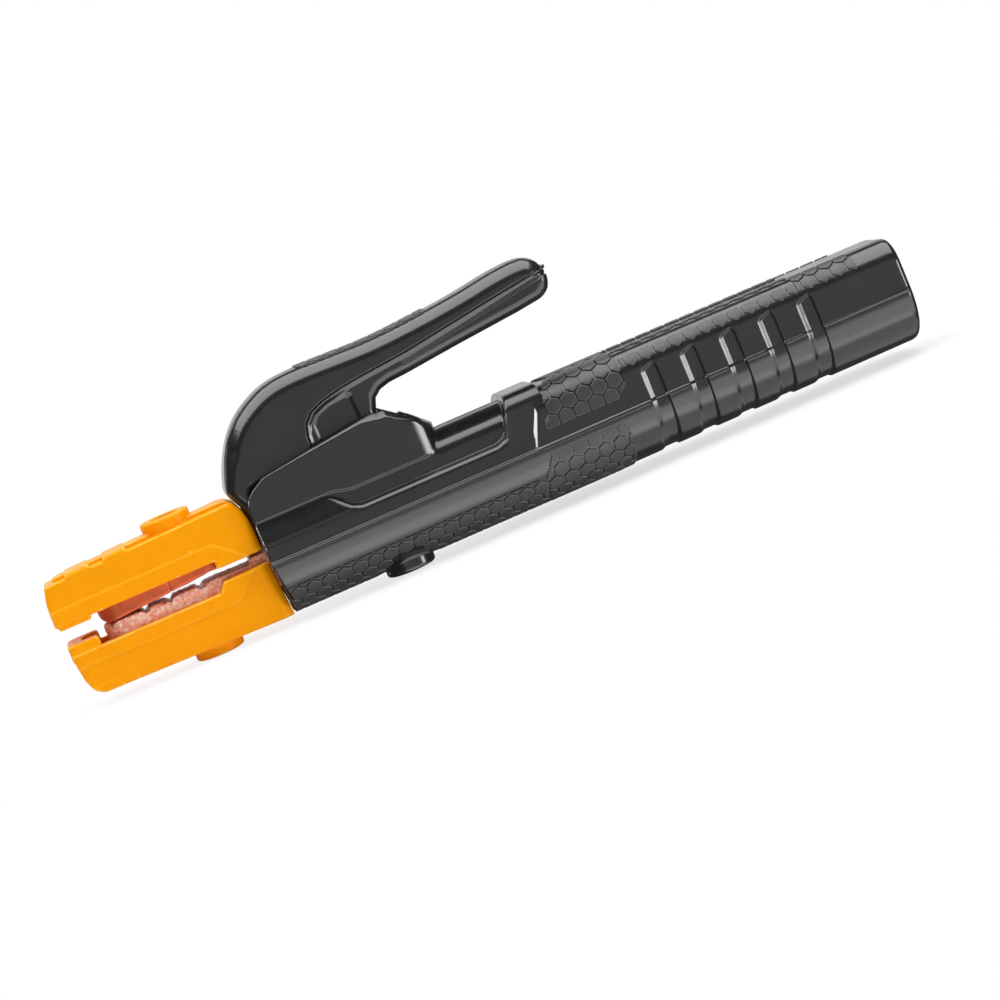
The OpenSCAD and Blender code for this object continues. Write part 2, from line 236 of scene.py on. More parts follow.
def add_mesh(name, v, faces, mat, body, replaces=(), slot=None, smooth=True):
    """v is in mm; faces is an (n, 4) array or a list of loops."""
    me = bpy.data.meshes.new(name)
    if isinstance(faces, np.ndarray):
        me.vertices.add(len(v))
        me.vertices.foreach_set("co", (np.asarray(v, F) * 0.001).ravel())
        me.loops.add(faces.size)
        me.loops.foreach_set("vertex_index", faces.ravel().astype(np.int32))
        me.polygons.add(len(faces))
        me.polygons.foreach_set("loop_start", np.arange(0, faces.size, 4, dtype=np.int32))
        me.update(calc_edges=True)
    else:
        me.from_pydata([tuple(float(c) * 0.001 for c in q) for q in v], [], faces)
    me.validate()
    me.polygons.foreach_set("use_smooth", [smooth] * len(me.polygons))
    o = place(name, me)
    me.materials.append(mat)
    if body:
        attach(o, body)
    if replaces:
        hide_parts(*replaces)
    return o


# ---------------------------------------------------------------- materials


def ranged(nt, value, ends):
    """Carries value from the range ends[0:2] to the range ends[2:4]."""
    node = nt.nodes.new("ShaderNodeMapRange")
    for key, end in zip(("From Min", "From Max", "To Min", "To Max"), ends):
        node.inputs[key].default_value = end
    nt.links.new(value, node.inputs["Value"])
    return node.outputs["Result"]


def material(name, base, rough, metal=0.0, vary=0.12, grain=1500.0, bump=0.15, wave=0.0, wave_scale=110.0,
             spec=0.5, dark=None, dark_scale=250.0, rough_vary=0.08, edge=None):
    """Colour in soft patches, uneven gloss and fine grain. dark is a second colour for the patches, wave the
    strength of slow unevenness, and edge the colour of a painted highlight along raised edges."""
    m = bpy.data.materials.new(name)
    m.use_nodes = True
    nt = m.node_tree
    link = nt.links.new
    shader = nt.nodes["Principled BSDF"].inputs
    shader["Metallic"].default_value = metal
    shader["Specular IOR Level"].default_value = spec
    place_on_object = nt.nodes.new("ShaderNodeTexCoord").outputs["Object"]

    def noise(scale, detail):
        n = nt.nodes.new("ShaderNodeTexNoise")
        for key, value in (("Scale", scale), ("Detail", detail), ("Roughness", 0.55)):
            n.inputs[key].default_value = value
        link(place_on_object, n.inputs["Vector"])
        return n.outputs["Fac"]

    def bumps(height, strength, distance):
        n = nt.nodes.new("ShaderNodeBump")
        n.inputs["Strength"].default_value = strength
        n.inputs["Distance"].default_value = distance
        link(height, n.inputs["Height"])
        return n

    ramp = nt.nodes.new("ShaderNodeValToRGB")
    low, high = ramp.color_ramp.elements
    low.color = (*(dark or [c * (1 - vary) for c in base]), 1)
    high.color = (*[min(1, c * (1 + vary)) for c in base], 1)
    low.position, high.position = 0.33, 0.67
    link(noise(dark_scale if dark else 90.0, 4.0), ramp.inputs["Fac"])
    colour = ramp.outputs["Color"]
    if edge:
        # painted highlight: raised edges are lighter, faintly on the tiles, thin and bright on the yellow
        # plastic
        edge_highlight_mask = nt.nodes.new("ShaderNodeNewGeometry").outputs["Pointiness"]
        mix = nt.nodes.new("ShaderNodeMixRGB")
        link(ranged(nt, edge_highlight_mask, (0.515, 0.56, 0, 1)), mix.inputs["Fac"])
        link(colour, mix.inputs["Color1"])
        mix.inputs["Color2"].default_value = (*edge, 1)
        colour = mix.outputs["Color"]
    link(colour, shader["Base Color"])
    gloss = (0.3, 0.7, max(0.03, rough - rough_vary), min(1.0, rough + rough_vary))
    link(ranged(nt, noise(260.0, 4.0), gloss), shader["Roughness"])
    relief = bumps(noise(grain, 3.0), bump, 0.0002)
    if wave:
        slow = bumps(noise(wave_scale, 2.0), wave, 0.001)
        link(relief.outputs["Normal"], slow.inputs["Normal"])
        relief = slow
    link(relief.outputs["Normal"], shader["Normal"])
    return m


BLACK = material("black_nylon", (0.011, 0.011, 0.0115), 0.19, vary=0.12, grain=2600, bump=0.012,
                 rough_vary=0.02, spec=1.0)
# the tiles' edge colour is a faint painted highlight along their raised edges
TILE = material("tile_nylon", (0.030, 0.030, 0.031), 0.36, vary=0.25, grain=3200, bump=0.3, spec=0.8,
                edge=(0.08, 0.08, 0.08))
# the yellow's edge colour is a painted highlight, a thin bright line along raised edges
YELLOW = material("yellow_plastic", (0.98, 0.36, 0.0), 0.27, vary=0.02, grain=1800, bump=0.06, spec=0.08,
                  rough_vary=0.04, edge=(1.0, 0.62, 0.10))
COPPER_CAST = material("cast_copper", (1.0, 0.72, 0.60), 0.30, 0.2, grain=1700, bump=0.8,
                       dark=(0.93, 0.25, 0.15), dark_scale=1100.0)
COPPER = material("drawn_copper", (0.74, 0.15, 0.055), 0.36, 0.6, grain=900, bump=0.12, wave=0.06,
                  dark=(0.60, 0.11, 0.04), dark_scale=120.0)
BRASS = material("turned_brass", (0.75, 0.56, 0.25), 0.3, 1.0, grain=2000, bump=0.12)
STEEL = material("zinc_steel", (0.62, 0.63, 0.65), 0.28, 1.0, grain=2200, bump=0.15)
DARK = material("dark_steel", (0.12, 0.12, 0.13), 0.38, 1.0, grain=2200, bump=0.2)
ARM = material("dark_copper", (0.13, 0.055, 0.035), 0.42, 0.8, grain=1500, bump=0.5)
FIBRE = material("fibre", (0.30, 0.13, 0.06), 0.7, grain=1200, bump=0.5, vary=0.3)

# ---------------------------------------------------------------- grip (one moulding with the guard)

# middles of the upright screws and the spring in x and y, of the pivot and the cross pin in x and z
GRIP_SCREW, JAW_SCREW, SPRING, PIVOT, CROSS_PIN = (-170.5, 0), (-232.6, 0), (-175, 0), (-200, 16), (-135, 0)
# along the handle's axis: clear in front of the grip, and the rear end of the lever's slot
CLEAR_FRONT, SLOT_END = -212, -155.2
GUARD = [(-209.3, 2), (-209.3, 17.6), (-208.2, 19.9), (-206, 21.9), (-201.7, 24.3), (-185.5, 26.7),
         (-164.6, 29.3), (-161.6, 29.5), (-157.4, 27.1), (-152.4, 22.7), (-148.3, 19.0), (-148.3, 2)]
POCKET = [(-186.2, 12.6), (-184.8, 11.6), (-180.2, 6.9), (-177.5, 6.0), (-134.5, 6.0), (-131.6, 7.0),
          (-129.6, 9.6), (-126.4, 15.5), (-126.0, 24), (-186.2, 24)]
FINGER_GROOVES = [-83.7 + 12.85 * i for i in range(5)]
GROOVE_DEPTH = 0.95


def grip_outer(p):
    """The grip without its finger grooves and hollows."""
    x, y, z = p[..., 0], p[..., 1], p[..., 2]
    rho = np.hypot(y, z)
    low_r = np.where(x < -115, 17.0, 17.0 - 0.5 * (x + 115) / 115)
    top = 17.0 - 0.4 * np.clip((x + 115) / 115, 0, 1)
    # rear: round below the parting line, flat-sided above it
    shoulder = corner(np.abs(y) + 0.035 * z - 8.5, z - (top - 8.0), 8.0)
    t = np.clip((z + 0.25) / 0.5, 0, 1)
    rear = (rho - low_r) * (1 - t) + shoulder * t
    # slanted step down to the collar
    step = np.maximum((np.abs(y) - 16.45) * 0.83 - (x + 123.4 - 0.46 * z) * 0.56, -x - 126.5)
    rear = smax(rear, np.where(z > 0, step, -x - 124.0), 0.4)
    # collar: flat-sided like the rear but smaller, standing a little higher on top
    collar = corner(np.abs(y) - 9.0, z - 12.3, 6.0)
    ends = np.maximum(-(x + 129.0 - 0.33 * (z - 12)) * 0.95, x + 116.4)
    collar = smax(collar, np.maximum(ends, 4 - z), 0.6)
    # front: the upper half stands back a little from the parting line
    squeeze = 1 + 0.085 * np.clip((z + 0.2) / 0.4, 0, 1)
    front = (np.hypot(y * squeeze, z) - 17.0) / squeeze
    # below the guard's front part the flank goes up straight
    reach = np.maximum(5.6 - z, np.maximum(z - 12, x + 179))
    flank = smax(np.abs(y) * 0.94 + z * 0.342 - 15.83, reach, 0.2)
    front = smax(smin(front, flank, 0.4), x + 100, 1.0)
    # pockets beside the neck
    pocket = both(poly2(x, z, POCKET), 12.2 - 0.03 * (z - 6) - np.abs(y), 0.0)
    front = smin(smax(front, -pocket, 2.2), collar, 0.3)
    body = smin(front, rear, 0.2)
    # guard block
    ay = np.abs(y)
    side = ay - 14.0
    chamfer = side * 0.866 + (x + 156.2) * 0.5
    chamfer = smax(chamfer, (ay - 11.5) * 0.53 + (x + 151.6) * 0.85, 0.4)
    rim = 12.9 - 1.9 * np.clip((x + 169) / 6, 0, 1)
    ridge = 29.2 - 0.105 * np.clip(-164 - x, 0, 30) - 0.76 * np.maximum(x + 161.2, 0)
    roof = (ay - rim) * 0.66 + (z - ridge) * 0.75
    block = smax(smax(smax(poly2(x, z, GUARD), side, 0.35), chamfer, 2.4), roof, 0.4)
    lower = 11.0 + np.clip((-179 - x) * 0.25, 0, 1.4)
    block = smax(block, np.minimum(lower - z, ay - 12.2), 0.35)
    body = smin(body, block, 0.5)
    # bottom boss, then the slanted front end and the rounded rear end
    boss = cyl(p, 2, GRIP_SCREW, 7.75, -19.6, -10, 1.1)
    body = smin(body, boss, 0.8)
    body = smax(body, -209.4 - x + np.clip(-z, 0, 14) * 0.09, 0.8)
    return smax(body, x + 0.02, 2.6)


def grip(p):
    x, y, z = p[..., 0], p[..., 1], p[..., 2]
    out = grip_outer(p)
    # a fine rib along the parting line, then the finger grooves
    d = smin(out, both(np.abs(z - 0.05) - 0.22, np.maximum(out - 0.24, x + 1.2), 0.05), 0.35)
    for gx in FINGER_GROOVES:
        w = np.minimum((x - gx + 3.1) * 0.47, (gx + 2.6 - x) * 2.4) - np.clip(z - 8.6, 0, 9) ** 2 * 0.5
        d = smax(d, out + np.clip(w, -1, GROOVE_DEPTH - 0.35 * np.clip(-z / 4, 0, 1)), 0.25)
    # hollows: round the socket, the cable entry with its lead-in, round the shank, below the lever
    rho = np.hypot(y, z)
    d = smax(d, -both(rho - 13.8, np.abs(x + 73.5) - 53.5, 0), 0.3)
    d = smax(d, -(rho - 11.5 - np.maximum(x + 1.4, 0) * 0.6 + np.where(x > -21, 0, 50)), 0.5)
    d = smax(d, -both(rho - 10.4, x + 126, 0), 0.3)
    d = smax(d, -both(np.maximum(rho - 14, z - 3.5), np.abs(x + 166.2) - 40.2, 0), 0.3)
    # openings at the front: for the casting's neck and its underside, then the slot for the lever
    d = smax(d, -box(p, (CLEAR_FRONT, -8.6, -8.4), (-204, 8.6, 3.5)), 0.3)
    d = smax(d, -box(p, (CLEAR_FRONT, -5.5, -13.9), (-204, 5.5, 0)), 0.3)
    d = smax(d, -box(p, (CLEAR_FRONT, -10.4, 0), (SLOT_END, 10.4, 12)), 0.3)
    d = smax(d, -box(p, (CLEAR_FRONT, -11.3, 11), (SLOT_END, 11.3, 45), 1.0), 0.5)
    d = smax(d, -cyl(p, 2, GRIP_SCREW, 5.2, -21, -16.5), 0.4)
    return smax(d, -cyl(p, 2, GRIP_SCREW, 3.3, -18, -10), 0.2)


# ---------------------------------------------------------------- lever

SEAM = [(-97, 49.3), (-118.3, 46.2), (-148.5, 41.7), (-163, 40.3), (-170, 39.4), (-176.5, 38.0),
        (-181, 36.2), (-183.6, 33.6), (-184.6, 30), (-184.9, 20)]
LEVER = ([(-205, 14), (-209.6, 14), (-210.7, 18.3)]
         + through([(-212.6, 21.8), (-213.1, 24), (-211.9, 28.1), (-209.5, 33.5), (-206.2, 38.7),
                    (-201.6, 43.3), (-195.6, 46.9), (-189.6, 49.0), (-182, 49.8), (-170, 49.6),
                    (-159.4, 49.3), (-147.3, 49.8), (-129.2, 51.5), (-116, 53.4), (-109, 54.0)])
         + arc(-107.3, 46.5, 7.6, 76, -70, 14)
         + [(-112, 38.4), (-132.2, 36.5), (-150, 34.6), (-155.5, 34.2), (-158.6, 33.4), (-160.5, 31.9),
            (-161.6, 29), (-162.3, 20), (-195, 20.6), (-205, 21)])
# hollows inside the lever: a narrow one for the arm, a wide one for the casting's lugs
ARM_HOLLOW = [(-214, 12), (-214, 17.8), (-210.2, 18.1), (-205.7, 22.6), (-198.7, 32.5), (-191.4, 37.6),
              (-180.2, 40.6), (-166.1, 43.8), (-148.5, 46), (-106, 51), (-104, 47.6), (-106, 44.3),
              (-148.5, 38.8), (-162, 36.6), (-166, 30), (-166, 10)]
LUG_HOLLOW = ([(-165, 10), (-165, 31.5), (-170, 36)] + arc(-184, 21.4, 24, 100, 160, 8)
              + [(-207.0, 24), (-207.0, 10)])
PANEL = [(-182.4, 22), (-182.4, 32.8), (-180, 35.8), (-175.4, 37.4), (-169.2, 38), (-167.4, 36.4),
         (-166.9, 22)]


def lever_outer(p):
    """Cover and underside together, without the hollows."""
    x, y, z = p[..., 0], p[..., 1], p[..., 2]
    half = 10.6 - 0.5 * np.clip((x + 120) / 25, 0, 1) ** 2
    # generous rounding on the outer edge, tighter inside the guard and below the seam
    r = 6.2 - 3.0 * np.clip((34 - z) / 12, 0, 1)
    r = np.minimum(r, 6.2 - 1.9 * np.clip((above_seam(p) + 0.5) / 2.5, 0, 1))
    return both(poly2(x, z, LEVER), np.abs(y) - half, r)


def above_seam(p):
    """Negative on the cover's side of the seam."""
    return poly2(p[..., 0], p[..., 2], SEAM + [(-184.9, 8), (-225, 8), (-225, 75), (-90, 75), (-90, 50)])


def hollowed(p, d):
    """d with the lever's two inner hollows cut out."""
    d = smax(d, -plate(p, ARM_HOLLOW, 4.9, 0.2), 0.3)
    return smax(d, -plate(p, LUG_HOLLOW, 8.5, 0.3), 0.3)


def lever_cover(p):
    return hollowed(p, smax(lever_outer(p), above_seam(p) + 0.1, 0.4))


def lever_underside(p):
    x, y, z = p[..., 0], p[..., 1], p[..., 2]
    s = above_seam(p)
    out = lever_outer(p) + 0.05 + np.clip(s * 0.5, 0, 0.8) * np.clip((-101 - x) / 4, 0, 1)
    d = smax(out, 0.1 - s, 0.4)
    # second line below the seam, and the sunk panel in front of the bar
    line = np.abs(s - 2.5 + np.clip((x + 150) / 50, 0, 1) * 0.5) - 0.3
    line = smax(line, -150 - x, 0.3)
    d = smax(d, -both(line, -(out + 0.45), 0), 0.5)
    d = smax(d, out + np.clip(-poly2(x, z, PANEL) * 0.45, -1, 0.75), 0.3)
    # screw holes from below
    for sx, sz in ((-142, 37.6), (-114, 40.6)):
        d = smax(d, -cyl(p, 2, (sx, 0), 3.1, 28, sz), 0.3)
        d = smax(d, -cyl(p, 2, (sx, 0), 1.6, 28, 50), 0.2)
    return hollowed(p, d)


# ---------------------------------------------------------------- jaws


def half_width(x):
    """Half of a jaw's width, which grows from the nose to the rear."""
    nose, rear = 8.9, 10.5
    return nose + (rear - nose) * np.clip((x + 274.7) / 64.7, 0, 1)


def upper_insulator(p):
    x, y, z = p[..., 0], p[..., 1], p[..., 2]
    ay = np.abs(y)
    out = [(-274.0, 6.9), (-274.0, 12.2), (-273.7, 15.5), (-272.6, 18.6), (-270.8, 20.1), (-267.9, 20.7),
           (-240, 21.6), (-216.5, 22.25), (-214.2, 21.9), (-212.2, 20.4), (-211.0, 18.2), (-210.2, 15),
           (-209.85, 11), (-209.8, 4.6), (-224.3, 4.5), (-224.3, 6.9)]
    half = half_width(x)
    ay = smax(ay - half, -274.5 - x, 3.2) + half
    back = (ay - half) * 0.72 + (x + 211.6 + np.clip(z - 13, 0, 9) ** 2 * 0.05) * 0.6
    d = smax(both(poly2(x, z, out), ay - half, 1.0), back, 0.7)
    # lower band, a little proud, running down to the back edge
    band = poly2(x, z, [(-274.7, 6.9), (-274.5, 12.3), (-222.6, 12.3), (-213.6, 4.5), (-224.3, 4.5),
                        (-224.3, 6.9)])
    d = smin(d, both(band, ay - half - 0.6, 1.1), 0.15)
    nose = poly2(x, z, [(-274.6, 6.9), (-274.3, 14), (-272.9, 19.2), (-271, 20.4), (-255, 20.4),
                        (-253, 18.6), (-256, 18.1), (-272, 18.1), (-272, 6.9)])
    d = smin(d, both(nose, ay - half - 0.05, 0.5), 0.4)
    # castellated top edges and the raised spine
    cut = np.full(x.shape, 1e3, F)
    for a, b in ((-272.5, -266.0), (-258.2, -254.0), (-246.4, -205)):
        cut = np.minimum(cut, np.abs(x - (a + b) / 2) - (b - a) / 2 + (z - 20) * -0.25)
    plateau = 4.6 + np.clip((x + 250) * 0.35, 0, 1.8) - 2.4 * np.clip(1 - np.abs(x + 232.6) / 16, 0, 1)
    cut = smax(cut, plateau - ay, 0.5)
    d = smax(d, -smax(cut, 19.75 + (x + 262) * 0.028 - z, 0.4), 0.5)
    # screw boss and the ledge below the nose, then the room for the lever arm
    d = smin(d, cyl(p, 2, JAW_SCREW, 7.65, 18, 24.75, 0.9), 0.5)
    d = smin(d, box(p, (-273.6, -7.6, 5.6), (-263.6, 7.6, 7.6), 0.5), 0.5)
    d = smax(d, -box(p, (-262.3, -7.1, 3), (-224.0, 7.1, 14.1)), 0.3)
    tail = plate(p, [(-226, 3), (-226, 14.1), (-208, 18.5), (-208, 3)], 6.1, 0)
    d = smax(d, -tail, 0.3)
    d = smax(d, -cyl(p, 2, JAW_SCREW, 4.7, 21.6, 30), 0.5)
    return smax(d, -cyl(p, 2, JAW_SCREW, 2.7, 12, 30), 0.2)


def lower_insulator(p):
    x, y, z = p[..., 0], p[..., 1], p[..., 2]
    x = x - 1.1 * np.clip((-262.5 - x) / 6, 0, 1)
    ay = np.abs(y)
    out = [(-274.4, -3.4), (-274.3, -8), (-273.8, -10.8), (-273.3, -11.9), (-272.4, -13.7),
           (-271.1, -15.1), (-268.8, -15.85), (-208.45, -17.0), (-209.75, 0.75), (-214, 0.7),
           (-224.0, 0.4), (-226.2, -2.4), (-273.6, -2.4)]
    half = half_width(x)
    ay = smax(ay - half, -274.5 - x, 3.2) + half
    back = (ay - half) * 0.72 + (x + 211.9 + z * 0.075) * 0.6
    d = smax(both(poly2(x, z, out), ay - half, 0.9), back, 0.7)
    # upper band and lip, a little proud, and the toe below the nose
    band = poly2(x, z, [(-274.4, -3.0), (-274.3, -7.1), (-221.5, -7.1), (-214.2, 0.2), (-224, 0.35),
                        (-226.2, -2.8)])
    d = smin(d, both(band, ay - half - 0.35, 0.4), 0.3)
    lip = poly2(x, z, [(-274.2, -2.4), (-274.2, -3.2), (-226.4, -3.2), (-226.2, -2.4)])
    d = smin(d, both(lip, ay - half - 0.6, 0.3), 0.3)
    toe = poly2(x, z, [(-272.6, -13.1), (-271.9, -14.3), (-269.4, -15.8), (-262, -15.9), (-264, -13.1)])
    d = smin(d, both(toe, ay - half - 0.22, 0.3), 0.4)
    # a rib along each side of the nose
    rib = smax(box(p, (-273.9, -9.4, -5), (-263.9, 9.4, 0.65), 0.9), 4.6 - ay, 0.5)
    rib = smax(rib, ay - half - 0.3, 0.6)
    d = smin(d, rib, 0.4)
    # screw boss, then the room for the casting
    d = smin(d, cyl(p, 2, JAW_SCREW, 7.55, -19.6, -14, 0.9), 0.5)
    d = smax(d, -box(p, (-264.2, -7.1, -6), (-205, 7.1, 4)), 0.3)
    d = smax(d, -cyl(p, 2, JAW_SCREW, 4.7, -22, -16.2), 0.4)
    return smax(d, -cyl(p, 2, JAW_SCREW, 2.7, -22, -5), 0.2)


def lumps(p, s, seed):
    """Smooth three-dimensional noise of about unit height from sums of sines."""
    rng = np.random.default_rng(seed)
    v = np.zeros(p.shape[:-1], F)
    for _ in range(9):
        k = rng.normal(size=3).astype(F) * s
        v += np.sin(p[..., 0] * k[0] + p[..., 1] * k[1] + p[..., 2] * k[2] + rng.uniform(0, 6.28))
    return v / 4.0


def round_front(x, y, x0, r):
    """A round front end of radius r about x0; it cuts nothing behind x0."""
    return np.hypot(np.maximum(x0 - x, 0), y) - r - np.maximum(x - x0, 0) * 99


def casting(p):
    x, y, z = p[..., 0], p[..., 1], p[..., 2]
    # lower contact with a round front end, straight grooves and crossed grooves
    bar = box(p, (-261.6, -6.95, -5.95), (-224, 6.95, 1.85), 0.9)
    bar = smax(bar, round_front(x, y, -254.7, 6.95), 0.6)
    diagonal = 0.7071
    for gx in (-248.3, -240.5, -230.8):
        bar = smax(bar, -((np.abs(x - gx) - (z - 0.5)) * diagonal), 0.35)
    for gx, side in itertools.product((-254.0, -236.0), (-1, 1)):
        w = np.abs((x - gx) * diagonal + side * y * diagonal)
        bar = smax(bar, -((w - (z - 0.7)) * diagonal), 0.35)
    # rough neck and beam
    neck = box(p, (-226, -6.5, -5.9), (-205, 6.5, 1.75), 0.6)
    neck = smin(neck, box(p, (-214.5, -6.5, -4), (-205, 6.5, 3.5), 0.9), 0.6)
    rough = lumps(p, 3.2, 5) * 0.09 + lumps(p, 1.2, 6) * 0.06
    d = smin(bar, neck, 0.5) + np.where(x < -209, rough, 0)
    d = smin(d, box(p, (-209.1, -8.2, -8), (-152, 8.2, 2.9), 0.8), 0.4)
    # two pivot lugs, spring foot, bottom boss and shank
    in_lug = np.abs(np.abs(y) - 7.15) - 1.13
    lug = both(np.hypot(x - PIVOT[0], z - PIVOT[1]) - 6.45, in_lug, 0.3)
    post = both(np.maximum(np.abs(x - PIVOT[0]) - 6.45, np.abs(z - 8.5) - 7.6), in_lug, 0.3)
    d = smin(d, np.minimum(lug, post), 0.4)
    d = smin(d, cyl(p, 2, SPRING, 7.9, 1, 4.45, 0.3), 0.3)
    d = smin(d, cyl(p, 2, SPRING, 4.15, 1, 7.9, 0.3), 0.3)
    d = smin(d, cyl(p, 2, GRIP_SCREW, 4.45, -13.0, -7, 0.3), 0.3)
    d = smin(d, cyl(p, 0, (0, 0), 6.45, -153, -124.1, 0.4), 0.3)
    # holes for the pivot pin, the screws and the cross pin
    d = smax(d, -cyl(p, 1, PIVOT, 3.02, -12, 12), 0.1)
    d = smax(d, -cyl(p, 2, GRIP_SCREW, 3.0, -14, -2), 0.1)
    d = smax(d, -cyl(p, 2, JAW_SCREW, 2.5, -8, -0.6), 0.1)
    return smax(d, -cyl(p, 1, CROSS_PIN, 1.53, -20, 20), 0.1)


def upper_contact(p):
    x, y, z = p[..., 0], p[..., 1], p[..., 2]
    out = ([(-261.6, 8.55), (-261.75, 6.9)] + arc(-258.6, 5.15, 3.0, 185, 265, 6)
           + [(-224.4, 4.45), (-224.4, 8.55)])
    d = plate(p, out, 6.95, 0.7)
    d = smax(d, round_front(x, y, -254.9, 6.95), 0.6)
    # a fine cut across the bar, and a notch at its rear end
    d = smax(d, -both(np.abs(x + 239.2) - 0.14, -(d + 0.35), 0), 0.15)
    d = smax(d, -cyl(p, 1, (-226.6, 4.0), 1.1, -8, -5.6), 0.4)
    return d + lumps(p, 0.7, 9) * 0.07


# ---------------------------------------------------------------- hexagon tiles

HEX = 4.9           # distance between the middles of neighbours in a row
ROW = HEX * 0.866   # distance between rows
TILE_GAP = 0.5
# a tile's rings from its foot up: how far inside the outline, and the part of the height
RINGS = ((-0.10, -1.0), (0.0, 0.5), (0.07, 0.85), (0.2, 1.0), (0.34, 1.0))
OUTLINE_POINTS = 18
SMALLEST_TILE = 1.6     # square millimetres
TOP_RING = 0.45         # the ring round the middle, as a part of the outline


def clip(poly, window):
    """The part of poly inside a convex, counter-clockwise window."""
    for i in range(len(window)):
        a, b = window[i - 1], window[i]
        out = []
        for j in range(len(poly)):
            p, q = poly[j - 1], poly[j]
            p_side = (b[0] - a[0]) * (p[1] - a[1]) - (b[1] - a[1]) * (p[0] - a[0])
            q_side = (b[0] - a[0]) * (q[1] - a[1]) - (b[1] - a[1]) * (q[0] - a[0])
            if (p_side >= 0) != (q_side >= 0):
                t = p_side / (p_side - q_side)
                out.append((p[0] + (q[0] - p[0]) * t, p[1] + (q[1] - p[1]) * t))
            if q_side >= 0:
                out.append(q)
        poly = out
        if len(poly) < 3:
            return []
    return poly


def area(poly):
    return 0.5 * sum(poly[i - 1][0] * poly[i][1] - poly[i][0] * poly[i - 1][1] for i in range(len(poly)))


def resample(poly, n):
    """About n points along the outline, its corners among them."""
    ends = list(zip(poly, poly[1:] + poly[:1]))
    total = sum(math.dist(a, b) for a, b in ends)
    out = []
    for a, b in ends:
        m = max(1, round(n * math.dist(a, b) / total))
        out += [(a[0] + (b[0] - a[0]) * k / m, a[1] + (b[1] - a[1]) * k / m) for k in range(m)]
    return out


def hexagons(windows, origin, holes):
    """Outlines of the hexagons in the windows, each cut to its window. holes are rounds left free."""
    root_3 = 1.732
    radius = (HEX - TILE_GAP) / root_3
    for window in windows:
        us, vs = [w[0] for w in window], [w[1] for w in window]
        rows = range(int((min(vs) - origin[1]) / ROW) - 2, int((max(vs) - origin[1]) / ROW) + 3)
        columns = range(int((min(us) - origin[0]) / HEX) - 2, int((max(us) - origin[0]) / HEX) + 3)
        for row, column in itertools.product(rows, columns):
            u, v = origin[0] + (column + 0.5 * (row % 2)) * HEX, origin[1] + row * ROW
            if any(math.hypot(u - h[0], v - h[1]) < h[2] for h in holes):
                continue
            angles = [math.radians(a) for a in range(-30, 330, 60)]
            poly = clip([(u + radius * math.cos(a), v + radius * math.sin(a)) for a in angles], window)
            if len(poly) >= 3 and area(poly) >= SMALLEST_TILE:
                yield resample(poly, OUTLINE_POINTS)


def tiles(name, windows, origin, to_surface, body, height=0.5, holes=(), turned=False):
    """Raised hexagons in the windows (convex outlines in surface coordinates), laid on a surface.
    turned is for a mirrored surface, where the loops have to run the other way round."""
    uv, heights, faces = [], [], []
    for poly in hexagons(windows, origin, holes):
        n = len(poly)
        middle = (sum(q[0] for q in poly) / n, sum(q[1] for q in poly) / n)
        first = len(uv)
        inner = first + len(RINGS) * n
        for shrink, h in RINGS:
            for q in poly:
                f = 1 - shrink / max(math.dist(q, middle), 0.3)
                uv.append((middle[0] + (q[0] - middle[0]) * f, middle[1] + (q[1] - middle[1]) * f))
                heights.append(h * height)
        for q in poly:
            uv.append((middle[0] + (q[0] - middle[0]) * TOP_RING, middle[1] + (q[1] - middle[1]) * TOP_RING))
            heights.append(height)
        uv.append(middle)
        heights.append(height)
        for k in range(n):
            k2 = (k + 1) % n
            for low in range(first, inner, n):
                faces.append((low + k, low + k2, low + n + k2, low + n + k))
            faces.append((inner + k, inner + k2, inner + n))
        faces.append(tuple(range(first + n - 1, first - 1, -1)))
    if turned:
        faces = [loop[::-1] for loop in faces]
    points, normals = to_surface(np.array(uv, F))
    points = points + normals * np.array(heights, F)[:, None]
    return add_mesh(name, points, faces, TILE, body, slot="black_nylon")


def trace(f, origin, direction):
    """Walks from each origin to f = 0: the points reached and the surface's normals there."""
    t = np.zeros(len(origin), F)
    for _ in range(40):
        t += np.clip(f(origin + direction * t[:, None]), -2, 6)
    points = origin + direction * t[:, None]
    g = gradient(f, points, 0.15)
    return points, g / np.linalg.norm(g, axis=1, keepdims=True)


OUTSIDE_GRIP = 26       # a radius from the handle's axis, clear of the grip
ABOVE_LEVER = 62


def around_grip(x_ref):
    """Maps (x, arc length up from the near parting line) to the grip's surface."""
    steps = 721
    angles = np.radians(np.linspace(-90, 90, steps))
    outwards = np.stack([np.zeros(steps), -np.cos(angles), np.sin(angles)], 1).astype(F)
    axis = np.zeros((steps, 3), F)
    axis[:, 0] = x_ref
    points, _ = trace(grip_outer, axis + outwards * OUTSIDE_GRIP, -outwards)
    arc_length = np.concatenate([[0], np.cumsum(np.linalg.norm(np.diff(points, axis=0), axis=1))])
    arc_length -= np.interp(0, angles, arc_length)

    def to_surface(uv):
        a = np.interp(uv[:, 1], arc_length, angles)
        d = np.stack([np.zeros(len(uv)), -np.cos(a), np.sin(a)], 1).astype(F)
        start = d * OUTSIDE_GRIP
        start[:, 0] = uv[:, 0]
        return trace(grip_outer, start, -d)

    return to_surface


def mirrored(to_surface):
    def to_far_side(uv):
        points, normals = to_surface(uv)
        return points * np.array([1, -1, 1], F), normals * np.array([1, -1, 1], F)
    return to_far_side


def on_lever(uv):
    """Maps (x, y) to the lever's top."""
    start = np.stack([uv[:, 0], uv[:, 1], np.full(len(uv), ABOVE_LEVER)], 1).astype(F)
    down = np.zeros_like(start)
    down[:, 2] = -1
    return trace(lever_outer, start, down)


# ---------------------------------------------------------------- build

COARSER = 1.0

